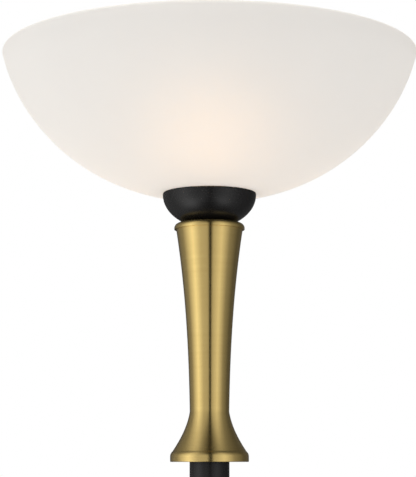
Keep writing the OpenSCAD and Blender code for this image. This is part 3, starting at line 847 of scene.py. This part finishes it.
bush = [
    (CORD_R, BUSH_IN),
    (BUSH_NECK_R, BUSH_IN),
    (BUSH_NECK_R, BUSH_IN + MM),
    (BUSH_SNAP_R, BUSH_IN + MM),
    (BUSH_SNAP_R, SNAP_Y),
    (BUSH_NECK_R, SNAP_Y),
    (BUSH_NECK_R, COVER_R),
    (BUSH_FLANGE_R, COVER_R),
    (BUSH_FLANGE_R, BUSH_OUT),
    (CORD_R, BUSH_OUT),
]
turned("cord_bushing", softened(bush, 0.4 * MM, 5), FINISHES["rubber"], lay=backward, around=96)

# %% [markdown]
# ## Everything else
# The other nodes keep their meshes. Each says in the record which finish it has, so one loop dresses
# them all.


# %% Felt
def felt():
    """Pressed wool: short fibres that cross each other, rough and without gloss."""
    material, tree, skin = finish("felt", (0.035, 0.035, 0.04), 0.95, Sheen_Weight=0.4)
    along = noise(tree, place(tree, (1, 6, 1)), 700, 5, 0.7)
    across = noise(tree, place(tree, (6, 1, 1)), 700, 5, 0.7)
    fibres = along * across * 2.0
    feed(
        tree,
        skin,
        Base_Color=blend(tree, fibres, rgb(0.02, 0.02, 0.024), rgb(0.09, 0.09, 0.1)),
        Normal=bump(tree, fibres, 0.6, 0.0006),
    )
    return material


FINISHES["felt"] = felt()
FINISHES["porcelain"] = skinned("porcelain", (0.80, 0.78, 0.73), 0.2, 200, 0.00003, 1.06)
FINISHES["fibre"] = skinned("fibre", (0.40, 0.33, 0.25), 0.75, 1500, 0.0001, 1.25)
FINISHES["bulb_glaze"] = skinned("bulb_glaze", (0.012, 0.012, 0.013), 0.12, 300, 0.00002)
FINISHES["led_board_white"] = skinned("led_board_white", (0.82, 0.82, 0.80), 0.35, 500, 0.00003, 1.05)
FINISHES["circuit_board"] = skinned("circuit_board", (0.015, 0.10, 0.03), 0.3, 900, 0.00008, 1.6)
FINISHES["wire_white"] = skinned("wire_white", (0.78, 0.78, 0.75), 0.35, 300, 0.00003, 1.05)
FINISHES["wire_black"] = skinned("wire_black", (0.018, 0.018, 0.018), 0.35, 300, 0.00003)
FINISHES["crimp_cap"] = skinned("crimp_cap", (0.62, 0.50, 0.22), 0.4, 500, 0.00004, 1.1)
print(len(FINISHES), "finishes")

# %% Dress the frame
for node, slot in SLOT.items():
    nodes[node].data.materials.clear()
    nodes[node].data.materials.append(FINISHES[slot])
print("dressed", len(SLOT), "nodes in", len(set(SLOT.values())), "finishes")

# %% [markdown]
# ## Light
# Polished metal has no look of its own: it shows the room. There are three rooms here, one for each kind
# of ray. Mirror rays see a studio of upright strips: a bright one on the left, a softer one on the right,
# a dark gap in front, where the viewer stands, and darkness behind. The strips are a gradient that reads
# the direction's angle round the Z axis, and HEIGHTS makes them brighter or darker from straight down, 0,
# to straight up, 1. The dark gap widens into a wedge above and below, where the leaning sides of the cup
# and the flare look. Every other ray is lit by a soft room, brighter on the left and dim from below. The
# camera itself sees plain white. Mirror rays pass the bowl and the floor by.

# %% Room
STRIPS = [
    (-180, 0.0),
    (-110, 0.3),
    (-65, 1.2),
    (-35, 0.6),
    (-5, 0.5),
    (0, 0.01),
    (6, 0.01),
    (12, 0.5),
    (45, 0.9),
    (80, 0.3),
    (120, 0.1),
]
HEIGHTS = [(0.0, 0.35), (0.12, 1.6), (0.25, 1.15), (0.4, 0.98), (0.6, 1.0), (1.0, 0.49)]
WEDGE_LEAST, WEDGE_GROWTH = 0.05, 0.55
WEDGE_DARKENS, WEDGE_DARKEST = 1.35, 0.97
LEFT_WALL, RIGHT_WALL = rgb(1.83, 1.86, 1.88), rgb(0.88, 0.89, 0.91)
CEILING, UNDERFOOT = rgb(0.83, 0.85, 0.87), rgb(0.36, 0.36, 0.36)
world = bpy.data.worlds.new("studio")
bpy.context.scene.world = world
world.use_nodes = True
sky = world.node_tree
direction = Wire.make(sky, "ShaderNodeTexCoord", output="Generated")
front = Wire.make(sky, "ShaderNodeMapping", {}, {"Vector": direction, "Rotation": (0, 0, np.pi / 2)})
angle = Wire.make(sky, "ShaderNodeTexGradient", {"gradient_type": "RADIAL"}, {"Vector": front}, "Fac")
stops = [(0.5 + degrees / 360, rgb(level, level, level)) for degrees, level in STRIPS]
strips = Wire.make(sky, "ShaderNodeValToRGB", {"stops": stops}, {0: angle})
parts = Wire.make(sky, "ShaderNodeSeparateXYZ", {}, {0: direction}).socket.node.outputs
side, up = Wire(parts[0]), Wire(parts[2])
ramp = {"stops": [(at, rgb(v, v, v)) for at, v in HEIGHTS]}
rise = Wire.make(sky, "ShaderNodeValToRGB", ramp, {0: up * 0.5 + 0.5})
high = up.math("ABSOLUTE", 0.0).math("POWER", 1.5)
wedge = (side.math("ABSOLUTE", 0.0) / (WEDGE_LEAST + high * WEDGE_GROWTH)).math("MINIMUM", 1.0)
shade = rise * (1 - (1 - wedge) * (high * WEDGE_DARKENS).math("MINIMUM", WEDGE_DARKEST))
mirrored = Wire.make(sky, "ShaderNodeMix", {"data_type": "RGBA", "blend_type": "MULTIPLY"},
                     {0: 1.0, 6: strips, 7: shade}, 2)
sides = blend(sky, side * 0.5 + 0.5, LEFT_WALL, RIGHT_WALL)
walls = blend(sky, up.math("MAXIMUM", 0.0), sides, CEILING)
soft = blend(sky, (up * 1.2 + 0.9).math("MINIMUM", 1.0), UNDERFOOT, walls)
light_path = Wire.make(sky, "ShaderNodeLightPath").socket.node.outputs
camera_ray, glossy_ray = (Wire(light_path[n]) for n in ("Is Camera Ray", "Is Glossy Ray"))
lit_by = blend(sky, glossy_ray, soft, mirrored)
room = blend(sky, camera_ray, lit_by, rgb(1, 1, 1))
back = sky.nodes["Background"]
sky.links.new(room.socket, back.inputs["Color"])
print("the room has", len(STRIPS), "strips")


# %% Lamps of the studio
def softbox(name, size, power, location, target):
    """A large area light, which shines at a target but isn't mirrored in the metal."""
    light = bpy.data.lights.new(name, "AREA")
    light.shape, light.size, light.energy = "SQUARE", size, power
    lamp = bpy.data.objects.new(name, light)
    lamp.location = location
    away = np.subtract(target, location)
    flat = np.hypot(away[0], away[1])
    lamp.rotation_euler = (np.arctan2(flat, -away[2]), 0, np.arctan2(-away[0], away[1]))
    lamp.visible_glossy = False
    lamp.visible_camera = False
    bpy.context.scene.collection.objects.link(lamp)


HEAD = (0, 0, 1.75)
softbox("overhead", 0.35, 12, (0.0, -0.55, 3.4), HEAD)
print("the softbox aims at", HEAD)

# %% [markdown]
# ## Floor and camera
# The floor is a pale disc that fades out towards its edge, so that it melts into the backdrop. The
# camera stands level with the foot of the brass neck and looks up a little, through a long lens.

# %% Floor
FLOOR_R = 2.4
rings = np.linspace(0, FLOOR_R, 40)[:, None]
turn = np.linspace(0, 2 * np.pi, 96, endpoint=False)
disc = np.stack([rings * np.cos(turn), rings * np.sin(turn), 0 * rings * turn - 0.5 * MM], -1)
index = np.arange(disc.shape[0] * disc.shape[1]).reshape(disc.shape[:2])
right = np.roll(index, -1, 1)
faces = np.stack([index[:-1], index[1:], right[1:], right[:-1]], -1).reshape(-1, 4)
floor_mesh = bpy.data.meshes.new("floor")
floor_mesh.from_pydata(disc.reshape(-1, 3), [], faces)
close_poles(floor_mesh)
floor = bpy.data.objects.new("floor", floor_mesh)
bpy.context.scene.collection.objects.link(floor)
floor.visible_glossy = False

paper, tree, skin = finish("floor_paper", (0.86, 0.86, 0.86), 0.7)
parts = Wire.make(tree, "ShaderNodeSeparateXYZ", {}, {0: place(tree)}).socket.node.outputs
x, y = Wire(parts[0]), Wire(parts[1])
edge = 1 - (x * x + y * y).math("POWER", 0.5) / FLOOR_R
speckle = noise(tree, place(tree), 160)
above = 1 - Wire.make(tree, "ShaderNodeNewGeometry", output="Backfacing")
feed(
    tree,
    skin,
    Base_Color=blend(tree, speckle, rgb(0.85, 0.85, 0.85), rgb(0.88, 0.88, 0.88)),
    Alpha=(edge * 2.5).math("MINIMUM", 1.0) * above,
)
floor_mesh.materials.append(paper)
print("the floor is", 2 * FLOOR_R, "m across")

# %% Camera
FOCAL_MM, SENSOR_MM = 125.06, 36
CAMERA_AT = (-1.44 * MM, -1.595, RIM - 394.8 * MM)
LOOKS_UP = 7.61
lens = bpy.data.cameras.new("camera")
lens.lens = FOCAL_MM
lens.sensor_width = SENSOR_MM
camera = bpy.data.objects.new("camera", lens)
camera.location = CAMERA_AT
camera.rotation_euler = (np.radians(90 + LOOKS_UP), 0, 0)
bpy.context.scene.collection.objects.link(camera)
bpy.context.scene.camera = camera
bpy.context.scene.view_settings.view_transform = "Standard"
print("the camera stands", round(camera.location.z, 3), "m high")
